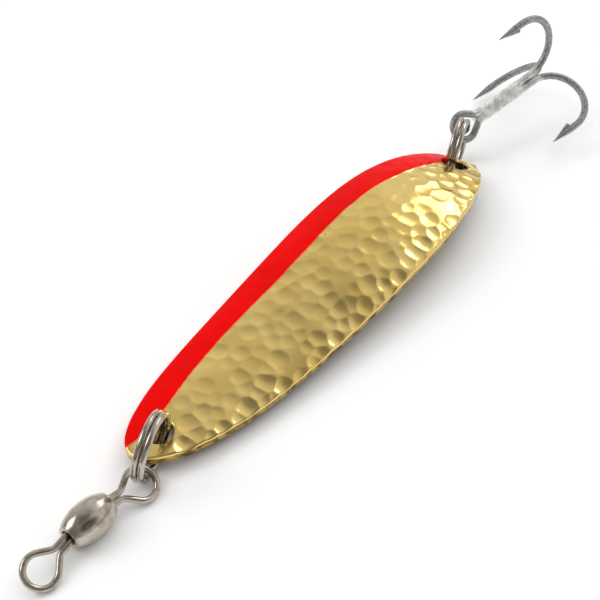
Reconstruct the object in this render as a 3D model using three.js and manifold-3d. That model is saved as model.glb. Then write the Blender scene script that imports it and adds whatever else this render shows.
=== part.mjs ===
// A casting spoon: a hammered brass blade with a split ring at each end, a
// barrel swivel on the front ring and a treble hook on the rear ring.
// Millimetres, +Z up. +X runs along the blade, from the swivel to the hook.
import * as THREE from 'three';
import { mergeVertices } from 'three/addons/utils/BufferGeometryUtils.js';
import Module from 'manifold-3d';

const wasm = await Module();
wasm.setup();

// ---------------------------------------------------------------- dimensions

// Blade: a stamped plate, arched along its length and crowned across it.
const BLADE_LENGTH = 66;
const BLADE_THICKNESS = 1.25;
// Bezier heights of the top face's centre line, at even steps from front to tail.
const BLADE_CREST = [2.8, 3.6, 3, 7, 11.1, 2.4];
// Bezier fullness of the outline: half width = fullness * sqrt(s * (1 - s)).
const BLADE_FULLNESS = [16, 16.5, 11.4, 22.6, 17.5];
const BLADE_CROWN_RADIUS = 22;
const HOLE_RADIUS = 1.8;
const FRONT_HOLE_INSET = 4.25;
const REAR_HOLE_INSET = 3.85;

// Split rings: two close turns of one wire, with a crank where they change side.
const RING_RADIUS = 3.78;
const RING_WIRE_RADIUS = 0.38;
const RING_TURN_SPACING = 0.79;
const RING_CRANK_HALF_ANGLE = THREE.MathUtils.degToRad(14);
// The wire's ends stop short of the crank's middle by this many half angles.
const RING_END_GAP = 1.12;

// How far from its fork a wire eye starts to bend.
const FORK_EASE = 0.5;

// Barrel swivel: a hollow barrel holding two wire eyes by their upset heads.
const BARREL_HALF_LENGTH = 2.95;
const BARREL_RADIUS = 2.15;
const BARREL_END_RADIUS = 1.28;
const BARREL_WALL = 0.45;
const BARREL_NECK_RADIUS = 0.9;
const BARREL_NECK_LENGTH = 0.6;
const SWIVEL_WIRE_RADIUS = 0.38;
const SWIVEL_STRAND_OFFSET = 0.39;
const SWIVEL_EYE_RADIUS = 1.85;
const SWIVEL_EYE_REACH = 4.65;
const SWIVEL_FORK_REACH = 2.1;
const SWIVEL_HEAD_RADIUS = 1.1;
const SWIVEL_HEAD_HALF_LENGTH = 0.5;
const SWIVEL_HEAD_GAP = 0.25;

// Treble hook: a double hook bent from one wire, and a single hook brazed to it.
const HOOK_WIRE_RADIUS = 0.48;
const HOOK_STRAND_OFFSET = 0.6;
const HOOK_EYE_RADIUS = 1.75;
const HOOK_FORK_REACH = 2.4;
const HOOK_SHANK_START = 3.9;
const HOOK_SHANK_LENGTH = 12.9;
const HOOK_BEND_RADIUS = 4.3;
const HOOK_POINT_REACH = 4.4;
const HOOK_POINT_TAPER = 2.6;
const HOOK_TIP_RADIUS = 0.04;
const POINT_OVERLAP = 0.25;
const POINT_BASE_RADIUS = 0.47;
const BARB_ROOT_REACH = 0.3;
const BARB_REACH = 3.5;
const BARB_STANDOFF = 0.6;
const BARB_END_RADIUS = 0.34;
const HOOK_SINGLE_START = 3.1;
const BRAZE_START = 3;
const BRAZE_END = 11;
const BRAZE_SKIN = 0.1;
const BRAZE_CLEARANCE = 0.025;

// Where each hung piece lies, with the blade resting on the two rings.
const FRONT_RING_CENTRE = new THREE.Vector3(-31.57, -1.74, 4.15);
const FRONT_RING_AXIS = new THREE.Vector3(0.345, -0.93, -0.125).normalize();
const FRONT_RING_SPIN = -75;
const REAR_RING_CENTRE = new THREE.Vector3(32.38, 1.82, 4.2);
const REAR_RING_AXIS = new THREE.Vector3(0.348, -0.933, -0.088).normalize();
const REAR_RING_SPIN = 17;
const BARREL_CENTRE = new THREE.Vector3(-41.75, -2.2, 2.16);
const LURE_EYE_YAW = -7;
const LINE_EYE_YAW = 184;
const SWIVEL_EYE_PITCH = -8;
const SWIVEL_EYE_ROLL = 31;
const HOOK_EYE_CENTRE = new THREE.Vector3(35.79, 3.17, 5.09);
const HOOK_YAW = -12.4;
const HOOK_PITCH = 11;
const HOOK_ROLL = -127.5;

// Fineness of the curved faces.
const BLADE_STEPS = 40;
const BLADE_ROWS = 8;
const RING_STEPS = 112;
const SWIVEL_EYE_STEPS = 48;
const BEND_STEPS = 36;
const DOUBLE_HOOK_STEPS = 110;
const BARREL_SIDES = 24;
const BARREL_STEPS = 10;
const HOLE_SIDES = 36;
const WIRE_SIDES = 10;

// ----------------------------------------------------------------- materials

const metal = (colour, roughness) =>
  new THREE.MeshStandardMaterial({ color: colour, roughness, metalness: 1 });
const brass = metal(0xd8b866, 0.22);
const nickel = metal(0xb9b2a8, 0.2);
const tinnedSteel = metal(0x8e8f8c, 0.45);
const solder = metal(0xa2a49c, 0.6);

// ------------------------------------------------------------------- helpers

const degrees = THREE.MathUtils.degToRad;

/** Value of the Bezier curve with the given control values, at s from 0 to 1. */
function bezier(values, s) {
  if (values.length === 1) return values[0];
  const head = values.slice(0, -1);
  const tail = values.slice(1);
  return (1 - s) * bezier(head, s) + s * bezier(tail, s);
}

/** Slope of the same Bezier curve, per unit of s. */
function bezierSlope(values, s) {
  const steps = values.slice(1).map((value, i) => value - values[i]);
  return steps.length * bezier(steps, s);
}

/** A manifold solid from a closed three.js geometry. */
function solidFrom(geometry) {
  const bare = geometry.clone();
  bare.deleteAttribute('normal');
  bare.deleteAttribute('uv');
  const merged = mergeVertices(bare, 1e-4);
  const triangles = [];
  const index = merged.index.array;
  for (let i = 0; i < index.length; i += 3) {
    const [a, b, c] = index.slice(i, i + 3);
    if (a !== b && b !== c && c !== a) triangles.push(a, b, c);
  }
  return new wasm.Manifold(new wasm.Mesh({
    numProp: 3,
    vertProperties: new Float32Array(merged.attributes.position.array),
    triVerts: new Uint32Array(triangles),
  }));
}

/** A three.js geometry from a manifold solid. */
function geometryFrom(solid) {
  const mesh = solid.getMesh();
  const geometry = new THREE.BufferGeometry();
  geometry.setAttribute('position', new THREE.BufferAttribute(mesh.vertProperties, 3));
  geometry.setIndex(new THREE.BufferAttribute(mesh.triVerts, 1));
  geometry.computeVertexNormals();
  return geometry;
}

function namedMesh(name, geometry, material) {
  const mesh = new THREE.Mesh(geometry, material);
  mesh.name = name;
  return mesh;
}

/** An arc of a circle: centre + radius * (u * cos(angle) + v * sin(angle)). */
class Arc3 extends THREE.Curve {
  constructor(centre, u, v, radius, fromAngle, toAngle) {
    super();
    Object.assign(this, { centre, u, v, radius, fromAngle, toAngle });
  }

  getPoint(t) {
    const angle = THREE.MathUtils.lerp(this.fromAngle, this.toAngle, t);
    return this.centre.clone()
      .addScaledVector(this.u, this.radius * Math.cos(angle))
      .addScaledVector(this.v, this.radius * Math.sin(angle));
  }
}

/** A round wire swept along a curve. */
function wire(curve, radius, steps) {
  const section = new THREE.Shape();
  section.absarc(0, 0, radius, 0, 2 * Math.PI);
  return new THREE.ExtrudeGeometry(section, {
    extrudePath: curve,
    steps,
    curveSegments: WIRE_SIDES / 2,
    bevelEnabled: false,
  });
}

/** A round taper between two points. */
function taper(from, to, fromRadius, toRadius) {
  const length = from.distanceTo(to);
  const cone = new THREE.CylinderGeometry(toRadius, fromRadius, length, WIRE_SIDES);
  const turn = new THREE.Quaternion().setFromUnitVectors(
    new THREE.Vector3(0, 1, 0),
    to.clone().sub(from).normalize(),
  );
  cone.applyQuaternion(turn);
  cone.translate(...from.clone().lerp(to, 0.5).toArray());
  return solidFrom(cone);
}

/** Turns a group so that its z axis points along the given direction. */
function aimZ(group, direction) {
  group.quaternion.setFromUnitVectors(new THREE.Vector3(0, 0, 1), direction);
}

/** Turns a group by yaw, then pitch (nose up), then roll about its own x axis. */
function aimX(group, yaw, pitch, roll) {
  group.rotation.set(degrees(roll), degrees(-pitch), degrees(yaw), 'ZYX');
}

// --------------------------------------------------------------------- blade

/** Half width of the blade at s, from 0 at the front tip to 1 at the tail. */
function bladeHalfWidth(s) {
  return bezier(BLADE_FULLNESS, s) * Math.sqrt(s * (1 - s));
}

/** Point at lateral distance y and depth below the top face, at station s. */
function bladePoint(s, y, depth) {
  const slope = bezierSlope(BLADE_CREST, s) / BLADE_LENGTH;
  const normalLength = Math.hypot(slope, 1);
  const crown = (y * y) / (2 * BLADE_CROWN_RADIUS);
  return new THREE.Vector3(
    (s - 0.5) * BLADE_LENGTH + (slope * depth) / normalLength,
    y,
    bezier(BLADE_CREST, s) - crown - depth / normalLength,
  );
}

/** The plate before its holes: a top and a bottom grid, closed round the rim. */
function bladeBlank() {
  const positions = [];
  const quad = (a, b, c, d) => {
    for (const corner of [a, b, c, a, c, d]) positions.push(...corner.toArray());
  };
  const at = (i, j, depth) => {
    const s = (1 - Math.cos((Math.PI * i) / BLADE_STEPS)) / 2;
    const side = (2 * j) / BLADE_ROWS - 1;
    return bladePoint(s, side * bladeHalfWidth(s), depth);
  };
  const under = BLADE_THICKNESS;
  const last = BLADE_ROWS;
  for (let i = 0; i < BLADE_STEPS; i += 1) {
    const next = i + 1;
    for (let j = 0; j < BLADE_ROWS; j += 1) {
      quad(at(i, j, 0), at(next, j, 0), at(next, j + 1, 0), at(i, j + 1, 0));
      quad(at(i, j, under), at(i, j + 1, under), at(next, j + 1, under), at(next, j, under));
    }
    quad(at(i, 0, under), at(next, 0, under), at(next, 0, 0), at(i, 0, 0));
    quad(at(i, last, 0), at(next, last, 0), at(next, last, under), at(i, last, under));
  }
  const geometry = new THREE.BufferGeometry();
  geometry.setAttribute('position', new THREE.Float32BufferAttribute(positions, 3));
  return geometry;
}

/** A punch through the plate, square to it, at station s. */
function bladePunch(s) {
  const slope = bezierSlope(BLADE_CREST, s) / BLADE_LENGTH;
  const punchLength = 4 * BLADE_THICKNESS;
  const punch = new THREE.CylinderGeometry(HOLE_RADIUS, HOLE_RADIUS, punchLength, HOLE_SIDES);
  punch.rotateX(Math.PI / 2);
  punch.rotateY(-Math.atan(slope));
  const centre = bladePoint(s, 0, BLADE_THICKNESS / 2);
  punch.translate(centre.x, centre.y, centre.z);
  return solidFrom(punch);
}

function makeBlade() {
  const solid = solidFrom(bladeBlank())
    .subtract(bladePunch(FRONT_HOLE_INSET / BLADE_LENGTH))
    .subtract(bladePunch(1 - REAR_HOLE_INSET / BLADE_LENGTH));
  return namedMesh('spoon_blade', geometryFrom(solid), brass);
}

// --------------------------------------------------------------- split rings

/** Centre line of a split ring about z, with its crank on the +x side. */
class SplitRingCurve extends THREE.Curve {
  getPoint(t) {
    const gap = RING_END_GAP * RING_CRANK_HALF_ANGLE;
    const angle = THREE.MathUtils.lerp(gap, 4 * Math.PI - gap, t);
    const crankStart = 2 * Math.PI - RING_CRANK_HALF_ANGLE;
    const crankEnd = 2 * Math.PI + RING_CRANK_HALF_ANGLE;
    const change = THREE.MathUtils.smoothstep(angle, crankStart, crankEnd);
    return new THREE.Vector3(
      RING_RADIUS * Math.cos(angle),
      RING_RADIUS * Math.sin(angle),
      (change - 0.5) * RING_TURN_SPACING,
    );
  }
}

function makeSplitRing(name, centre, axis, spin) {
  const ring = new THREE.Group();
  const coil = namedMesh(name, wire(new SplitRingCurve(), RING_WIRE_RADIUS, RING_STEPS), nickel);
  coil.rotation.z = degrees(spin);
  ring.add(coil);
  ring.position.copy(centre);
  aimZ(ring, axis);
  return ring;
}

// ------------------------------------------------------------------ wire eye

/**
 * Curves of an eye in the plane of x and side: from the strand at +offset, out
 * to the fork, round the loop and back to the strand at -offset. The loop is on
 * the +x side of the fork when out is 1 and on its -x side when out is -1.
 */
function eyeCurves({ start, fork, loopCentre, loopRadius, offset, drop = 0, out = 1 }) {
  const at = (x, y) => new THREE.Vector3(x, y, -drop);
  const reach = Math.abs(loopCentre - fork);
  const span = Math.hypot(reach, offset);
  const openAngle = Math.PI - Math.acos(loopRadius / span) - Math.atan2(offset, reach);
  const strand = at(start, offset);
  const before = at(fork - out * FORK_EASE, offset);
  const corner = at(fork, offset);
  const touch = at(
    loopCentre + out * loopRadius * Math.cos(openAngle),
    loopRadius * Math.sin(openAngle),
  );
  const after = corner.clone().lerp(touch, FORK_EASE / corner.distanceTo(touch));
  const mirror = (point) => new THREE.Vector3(point.x, -point.y, point.z);
  return [
    new THREE.LineCurve3(strand, before),
    new THREE.QuadraticBezierCurve3(before, corner, after),
    new THREE.LineCurve3(after, touch),
    new Arc3(at(loopCentre, 0), new THREE.Vector3(out, 0, 0), new THREE.Vector3(0, 1, 0),
      loopRadius, openAngle, -openAngle),
    new THREE.LineCurve3(mirror(touch), mirror(after)),
    new THREE.QuadraticBezierCurve3(mirror(after), mirror(corner), mirror(before)),
    new THREE.LineCurve3(mirror(before), mirror(strand)),
  ];
}

function joined(curves) {
  const path = new THREE.CurvePath();
  for (const curve of curves) path.add(curve);
  return path;
}

// -------------------------------------------------------------------- swivel

/** A swivel eye with its neck at the origin and its loop out along +x. */
function makeSwivelEye(name) {
  const headCentre = -BARREL_NECK_LENGTH / 2 - SWIVEL_HEAD_GAP - SWIVEL_HEAD_HALF_LENGTH;
  const curves = eyeCurves({
    start: headCentre,
    fork: SWIVEL_FORK_REACH,
    loopCentre: SWIVEL_EYE_REACH,
    loopRadius: SWIVEL_EYE_RADIUS,
    offset: SWIVEL_STRAND_OFFSET,
  });
  const head = new THREE.SphereGeometry(SWIVEL_HEAD_RADIUS, 16, 10);
  head.scale(SWIVEL_HEAD_HALF_LENGTH / SWIVEL_HEAD_RADIUS, 1, 1);
  head.translate(headCentre, 0, 0);
  const loop = wire(joined(curves), SWIVEL_WIRE_RADIUS, SWIVEL_EYE_STEPS);
  return namedMesh(name, geometryFrom(solidFrom(loop).add(solidFrom(head))), nickel);
}

/** Radius of the barrel's outside at distance x from its middle. */
function barrelRadius(x) {
  const endFraction = BARREL_END_RADIUS / BARREL_RADIUS;
  const halfAxis = BARREL_HALF_LENGTH / Math.sqrt(1 - endFraction ** 2);
  return BARREL_RADIUS * Math.sqrt(1 - (x / halfAxis) ** 2);
}

/** The hollow barrel about x, open at both necks. */
function makeBarrel() {
  const outside = [];
  const inside = [];
  const innerEnd = BARREL_HALF_LENGTH - BARREL_NECK_LENGTH;
  for (let i = 0; i <= BARREL_STEPS; i += 1) {
    const along = (2 * i) / BARREL_STEPS - 1;
    const outerX = along * BARREL_HALF_LENGTH;
    const innerX = -along * innerEnd;
    outside.push(new THREE.Vector2(barrelRadius(outerX), outerX));
    inside.push(new THREE.Vector2(barrelRadius(innerX) - BARREL_WALL, innerX));
  }
  const profile = [
    new THREE.Vector2(BARREL_NECK_RADIUS, -BARREL_HALF_LENGTH),
    ...outside,
    new THREE.Vector2(BARREL_NECK_RADIUS, BARREL_HALF_LENGTH),
    new THREE.Vector2(BARREL_NECK_RADIUS, innerEnd),
    ...inside,
    new THREE.Vector2(BARREL_NECK_RADIUS, -innerEnd),
    new THREE.Vector2(BARREL_NECK_RADIUS, -BARREL_HALF_LENGTH),
  ];
  const geometry = new THREE.LatheGeometry(profile, BARREL_SIDES);
  geometry.rotateZ(-Math.PI / 2);
  return namedMesh('swivel_barrel', geometry, nickel);
}

function makeSwivel() {
  const swivel = new THREE.Group();
  swivel.position.copy(BARREL_CENTRE);
  swivel.add(makeBarrel());
  const neck = BARREL_HALF_LENGTH - BARREL_NECK_LENGTH / 2;
  const places = [
    ['swivel_lure_eye', neck, LURE_EYE_YAW, SWIVEL_EYE_ROLL],
    ['swivel_line_eye', -neck, LINE_EYE_YAW, -SWIVEL_EYE_ROLL],
  ];
  for (const [name, x, yaw, roll] of places) {
    const holder = new THREE.Group();
    holder.position.set(x, 0, 0);
    aimX(holder, yaw, SWIVEL_EYE_PITCH, roll);
    holder.add(makeSwivelEye(name));
    swivel.add(holder);
  }
  return swivel;
}

// --------------------------------------------------------------- treble hook

// The shank runs along x, with its three strands round it. The single hook
// bends towards +z, and the double hook's two bends lie 120 degrees either way.
const BEND_TURNS = [degrees(120), degrees(-120)];
const HOOK_HIGH = HOOK_STRAND_OFFSET + 2 * HOOK_BEND_RADIUS;
const HOOK_TIP_X = HOOK_SHANK_LENGTH - HOOK_POINT_REACH;
const POINT_BASE_X = HOOK_TIP_X + HOOK_POINT_TAPER;

/** Point at distance x along the shank and radius out along a bend's direction. */
function hookPoint(x, radius, turn) {
  return new THREE.Vector3(x, -radius * Math.sin(turn), radius * Math.cos(turn));
}

/** Curves of one bend, from its strand at x = start to the base of its point. */
function bendCurves(start, turn) {
  const outward = hookPoint(0, 1, turn);
  const low = HOOK_STRAND_OFFSET;
  return [
    new THREE.LineCurve3(hookPoint(start, low, turn), hookPoint(HOOK_SHANK_LENGTH, low, turn)),
    new Arc3(hookPoint(HOOK_SHANK_LENGTH, low + HOOK_BEND_RADIUS, turn),
      new THREE.Vector3(1, 0, 0), outward, HOOK_BEND_RADIUS, -Math.PI / 2, Math.PI / 2),
    new THREE.LineCurve3(
      hookPoint(HOOK_SHANK_LENGTH, HOOK_HIGH, turn),
      hookPoint(POINT_BASE_X, HOOK_HIGH, turn),
    ),
  ];
}

/** The same curves run the other way. */
function reversed(curves) {
  return curves.map((curve) => {
    if (curve instanceof Arc3) {
      const { centre, u, v, radius, fromAngle, toAngle } = curve;
      return new Arc3(centre, u, v, radius, toAngle, fromAngle);
    }
    return new THREE.LineCurve3(curve.v2, curve.v1);
  }).reverse();
}

/** A tapered point whose barb widens inwards from the tip and ends in a step. */
function pointSolid(turn) {
  const point = taper(
    hookPoint(POINT_BASE_X + POINT_OVERLAP, HOOK_HIGH, turn),
    hookPoint(HOOK_TIP_X, HOOK_HIGH, turn),
    POINT_BASE_RADIUS,
    HOOK_TIP_RADIUS,
  );
  const barb = taper(
    hookPoint(HOOK_TIP_X + BARB_ROOT_REACH, HOOK_HIGH, turn),
    hookPoint(HOOK_TIP_X + BARB_REACH, HOOK_HIGH - BARB_STANDOFF, turn),
    HOOK_TIP_RADIUS,
    BARB_END_RADIUS,
  );
  return point.add(barb);
}

function makeDoubleHook() {
  const [first, second] = BEND_TURNS;
  const eye = eyeCurves({
    start: HOOK_SHANK_START,
    fork: HOOK_FORK_REACH,
    loopCentre: 0,
    loopRadius: HOOK_EYE_RADIUS,
    offset: HOOK_STRAND_OFFSET * Math.sin(first),
    drop: HOOK_STRAND_OFFSET / 2,
    out: -1,
  });
  const path = joined([
    ...reversed(bendCurves(HOOK_SHANK_START, second)),
    ...eye,
    ...bendCurves(HOOK_SHANK_START, first),
  ]);
  const solid = solidFrom(wire(path, HOOK_WIRE_RADIUS, DOUBLE_HOOK_STEPS))
    .add(pointSolid(first))
    .add(pointSolid(second));
  return namedMesh('hook_double_wire', geometryFrom(solid), tinnedSteel);
}

function makeSingleHook() {
  const path = joined(bendCurves(HOOK_SINGLE_START, 0));
  const solid = solidFrom(wire(path, HOOK_WIRE_RADIUS, BEND_STEPS)).add(pointSolid(0));
  return namedMesh('hook_single_wire', geometryFrom(solid), tinnedSteel);
}

/** The brazing that wraps the three strands and fills the grooves between them. */
function makeBraze() {
  const outline = new THREE.Shape();
  const bores = [];
  for (const turn of [0, ...BEND_TURNS]) {
    const centre = hookPoint(0, HOOK_STRAND_OFFSET, turn);
    const middle = Math.atan2(centre.z, centre.y);
    const third = Math.PI / 3;
    outline.absarc(centre.y, centre.z, HOOK_WIRE_RADIUS + BRAZE_SKIN, middle - third, middle + third);
    const radius = HOOK_WIRE_RADIUS + BRAZE_CLEARANCE;
    const bore = new THREE.CylinderGeometry(radius, radius, 2 * BRAZE_END, 2 * WIRE_SIDES);
    bore.rotateZ(Math.PI / 2);
    bore.translate(BRAZE_START, centre.y, centre.z);
    bores.push(solidFrom(bore));
  }
  const sleeve = new THREE.ExtrudeGeometry(outline, {
    depth: BRAZE_END - BRAZE_START,
    curveSegments: WIRE_SIDES,
    bevelEnabled: false,
  });
  const acrossX = new THREE.Matrix4().makeBasis(
    new THREE.Vector3(0, 1, 0),
    new THREE.Vector3(0, 0, 1),
    new THREE.Vector3(1, 0, 0),
  );
  sleeve.applyMatrix4(acrossX);
  sleeve.translate(BRAZE_START, 0, 0);
  const solid = bores.reduce((rest, bore) => rest.subtract(bore), solidFrom(sleeve));
  return namedMesh('hook_braze', geometryFrom(solid), solder);
}

function makeHook() {
  const hook = new THREE.Group();
  hook.add(makeDoubleHook(), makeSingleHook(), makeBraze());
  hook.position.copy(HOOK_EYE_CENTRE);
  aimX(hook, HOOK_YAW, HOOK_PITCH, HOOK_ROLL);
  return hook;
}

// ------------------------------------------------------------------ assembly

const lure = new THREE.Group();
lure.add(
  makeBlade(),
  makeSplitRing('front_split_ring', FRONT_RING_CENTRE, FRONT_RING_AXIS, FRONT_RING_SPIN),
  makeSplitRing('rear_split_ring', REAR_RING_CENTRE, REAR_RING_AXIS, REAR_RING_SPIN),
  makeSwivel(),
  makeHook(),
);

// The origin is under the middle of the whole lure, on the surface it lies on.
const bounds = new THREE.Box3().setFromObject(lure, true);
const middle = bounds.getCenter(new THREE.Vector3());
lure.position.set(-middle.x, -middle.y, -bounds.min.z);

export default lure;
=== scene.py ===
"""A hammered brass casting spoon with its split rings, barrel swivel and treble hook.

Sizes are in millimetres in the lure's design frame, with +X from the swivel to
the hook and +Z up. place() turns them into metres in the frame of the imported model.
"""

import math

import bmesh
import bpy
import numpy as np
from mathutils import Matrix, Vector, noise


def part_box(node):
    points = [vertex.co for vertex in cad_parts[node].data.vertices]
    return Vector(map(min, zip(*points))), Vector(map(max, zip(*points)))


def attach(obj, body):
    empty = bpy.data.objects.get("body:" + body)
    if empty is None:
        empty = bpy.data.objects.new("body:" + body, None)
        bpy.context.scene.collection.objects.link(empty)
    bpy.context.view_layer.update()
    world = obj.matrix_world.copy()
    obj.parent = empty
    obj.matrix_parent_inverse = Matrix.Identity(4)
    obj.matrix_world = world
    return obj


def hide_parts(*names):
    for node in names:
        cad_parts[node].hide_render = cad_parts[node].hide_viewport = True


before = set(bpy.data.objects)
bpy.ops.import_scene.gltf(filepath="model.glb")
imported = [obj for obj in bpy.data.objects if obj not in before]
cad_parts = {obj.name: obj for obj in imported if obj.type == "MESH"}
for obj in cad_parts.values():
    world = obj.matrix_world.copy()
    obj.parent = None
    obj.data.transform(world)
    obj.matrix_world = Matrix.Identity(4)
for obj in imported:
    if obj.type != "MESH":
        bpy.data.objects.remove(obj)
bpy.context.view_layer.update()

# ---------------------------------------------------------------- dimensions

MM = 0.001
RANDOM_SEED = 11

# Blade: arched along its length, crowned across it, hammered on top. The crest and
# the fullness are Bezier values from the front tip to the tail.
BLADE_LENGTH = 66
BLADE_THICKNESS = 1.25
BLADE_CREST = (2.8, 3.6, 3, 7, 11.1, 2.4)
BLADE_FULLNESS = (16, 16.5, 11.4, 22.6, 17.5)
BLADE_CROWN_RADIUS = 22
HOLE_RADIUS = 1.8
FRONT_HOLE_INSET = 4.25
REAR_HOLE_INSET = 3.85
HOLE_STATIONS = (FRONT_HOLE_INSET / BLADE_LENGTH, 1 - REAR_HOLE_INSET / BLADE_LENGTH)
RIM_ROUNDING = 0.24
HOLE_ROUNDING = 0.16

# Hammering: round peen marks, thrown at random round a close-packed pattern. A mark
# is what a ball leaves, and a smaller ball leaves a harder one. They turn from soft
# and sparse to hard and close over these shares of the half width and values of x.
PEEN_SPACING = 2.05
PEEN_JITTER = 0.65
PEEN_RADII = (0.85, 1.45)
PEEN_HARD_BALL = 4.2
PEEN_SOFT_BALL = 7.6
PEEN_BALL_VARIATION = (0.8, 1.5)
PEEN_HARD_OVER_WIDTH = (0.5, 0.9)
PEEN_HARD_OVER_X = (15, 24)
PEEN_SKIPPED = 0.22
PEEN_ROWS = 7
PEEN_COLUMNS = 19
PEEN_RIDGE_SOFTNESS = 0.01
# The share of each mark's depth that shows through the paint and on the back, and
# how far a mark pushes the rim outwards.
PEEN_UNDER_PAINT = 0.4
PEEN_ON_BACK = 0.3
PEEN_SPREAD = 0.4
# Slow waves of the whole plate: depth, turn per mm along x and along y, phase.
SWELLS = ((0.03, 0.37, 0.6, 0), (0.025, 0.71, -0.45, 1.3))

# Paint: one stripe along the +Y edge, up to this Bezier line of Y values.
PAINT_EDGE = (1.3, -2.3, 16.9, -14.1, 20.8, -4.3, 2.0)
PAINT_EDGE_COSINE = 0.96
PAINT_START = -32.6
PAINT_END = 30.6
PAINT_THICKNESS = 0.04
PAINT_DOWN_WALL = 0.8

# Split rings: two close turns of one wire, with a crank where they change side.
RING_RADIUS = 3.78
RING_WIRE_RADIUS = 0.38
RING_TURN_SPACING = 0.79
RING_CRANK_HALF_ANGLE = math.radians(14)
# The wire's ends stop short of the crank's middle by this many half angles.
RING_END_GAP = 1.12

# How far from its fork a wire eye starts to bend.
FORK_EASE = 0.5

# Barrel swivel.
BARREL_HALF_LENGTH = 2.95
BARREL_RADIUS = 2.15
BARREL_END_RADIUS = 1.28
BARREL_WALL = 0.45
BARREL_NECK_RADIUS = 0.9
BARREL_NECK_LENGTH = 0.6
BARREL_LIP_ROUNDING = 0.14
BARREL_BORE_ROUNDING = 0.08
SWIVEL_WIRE_RADIUS = 0.38
SWIVEL_STRAND_OFFSET = 0.39
SWIVEL_EYE_RADIUS = 1.85
SWIVEL_EYE_REACH = 4.65
SWIVEL_FORK_REACH = 2.1
SWIVEL_HEAD_RADIUS = 1.1
SWIVEL_HEAD_HALF_LENGTH = 0.5
SWIVEL_HEAD_GAP = 0.25

# Treble hook: a double hook from one wire, and a single hook brazed to it.
HOOK_WIRE_RADIUS = 0.48
HOOK_STRAND_OFFSET = 0.6
HOOK_EYE_RADIUS = 1.75
HOOK_FORK_REACH = 2.4
HOOK_SHANK_START = 3.9
HOOK_SHANK_LENGTH = 12.9
HOOK_BEND_RADIUS = 4.3
HOOK_POINT_REACH = 4.4
HOOK_POINT_TAPER = 3.2
HOOK_TIP_RADIUS = 0.035
BARB_ROOT_REACH = 0.3
BARB_REACH = 3.5
BARB_STANDOFF = 0.6
BARB_END_RADIUS = 0.34
BARB_SAG = 0.05
HOOK_SINGLE_START = 3.1
BRAZE_START = 2.3
BRAZE_END = 11.4
BRAZE_FADE_IN = 1
BRAZE_FADE_OUT = 2
BRAZE_SKIN = 0.06
BRAZE_STRAND_INSET = 0.03
BRAZE_CORE_RADIUS = 0.8
BRAZE_CORE_END_RADIUS = 0.3
BRAZE_VOXEL = 0.055
# Lumps of the solder's skin: height, and waves per mm.
BRAZE_LUMPS = ((0.035, 1.1), (0.02, 3.3))
# Solder that has run out over the wires: where it starts and ends along the shank,
# and how far out on a bend it rises.
TINNING_STARTS = (1.6, 2.6)
TINNING_ENDS = (12.4, 15.5)
TINNING_RISES = (1.4, 2.6)

# Where each hung piece lies.
FRONT_RING_CENTRE = Vector((-31.57, -1.74, 4.15))
FRONT_RING_AXIS = Vector((0.345, -0.93, -0.125)).normalized()
FRONT_RING_SPIN = -75
REAR_RING_CENTRE = Vector((32.38, 1.82, 4.2))
REAR_RING_AXIS = Vector((0.348, -0.933, -0.088)).normalized()
REAR_RING_SPIN = 17
BARREL_CENTRE = Vector((-41.75, -2.2, 2.16))
LURE_EYE_YAW = -7
LINE_EYE_YAW = 184
SWIVEL_EYE_PITCH = -8
SWIVEL_EYE_ROLL = 31
HOOK_EYE_CENTRE = Vector((35.79, 3.17, 5.09))
HOOK_YAW = -12.4
HOOK_PITCH = 11
HOOK_ROLL = -127.5

# How finely the pieces are meshed.
BLADE_STATIONS = 620
BLADE_TOP_COLUMNS = 190
BLADE_BACK_COLUMNS = 60
BLADE_WALL_ROWS = 3
# How many stations each way may hold the nearest point of the rim.
RIM_SEARCH = 30
PUNCH_SIDES = 96
WIRE_SIDES = 22
RING_STEPS = 420
SWIVEL_EYE_STEPS = 260
SWIVEL_HEAD_STEPS = 24
SWIVEL_HEAD_SIDES = 40
BARREL_SIDES = 96
DOUBLE_HOOK_STEPS = 620
SINGLE_HOOK_STEPS = 280

# Colours, as linear red, green and blue. A pair is the two ends of a mottling.
BRASS = ((0.83, 0.595, 0.185), (0.90, 0.67, 0.24))
BRASS_PIT = (0.16, 0.09, 0.03)
# Painted shade: a mottled dark brown for the side walls and the back, in place of the shadowed floor
# they reflect.
WALL_SHADE_BRASS = ((0.13, 0.075, 0.02), (0.52, 0.36, 0.10))
# Painted shade: near black for the walls inside the holes, where shade falls under the blade.
HOLE_SHADE = (0.055, 0.032, 0.018)
RED_PAINT = ((0.70, 0.0, 0.0), (0.80, 0.0, 0.0))
THIN_PAINT = (0.86, 0.13, 0.03)
NICKEL = ((0.54, 0.49, 0.42), (0.38, 0.325, 0.265))
TINNED_STEEL = ((0.22, 0.225, 0.22), (0.50, 0.51, 0.50))
TINNING = ((0.54, 0.57, 0.53), (0.87, 0.88, 0.86))
SOLDER = ((0.56, 0.59, 0.55), (0.90, 0.91, 0.89))
WHITE_FLOOR = ((0.93, 0.93, 0.93), (0.95, 0.95, 0.95))
ROOM_COLOUR = (1, 0.99, 0.98)

# Camera, in the design frame.
CAMERA_AT = Vector((-95.966, -73.763, 118.085))
CAMERA_AIM = Vector((-0.461, 2.62, 0))
CAMERA_LENS = 82.46

# The room's light, and its shades: a direction, the span of its dot product over
# which the shade changes, and the share of light left at the far end of that span.
# They are the dim side over the swivel end, a dark patch to the right of the camera,
# a dimmer ceiling and the band along the floor.
ROOM_LEVEL = 0.8
ROOM_SHADES = (
    ((-0.75, 0.1, 0.65), -0.1, 0.8, 0.38),
    ((0, -0.8, 0.6), 0.88, 0.96, 0.25),
    ((0.12, -0.1, 1), 0.94, 0.995, 0.6),
    ((0, 0, -1), -0.2, -0.02, 0.45),
)

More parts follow.
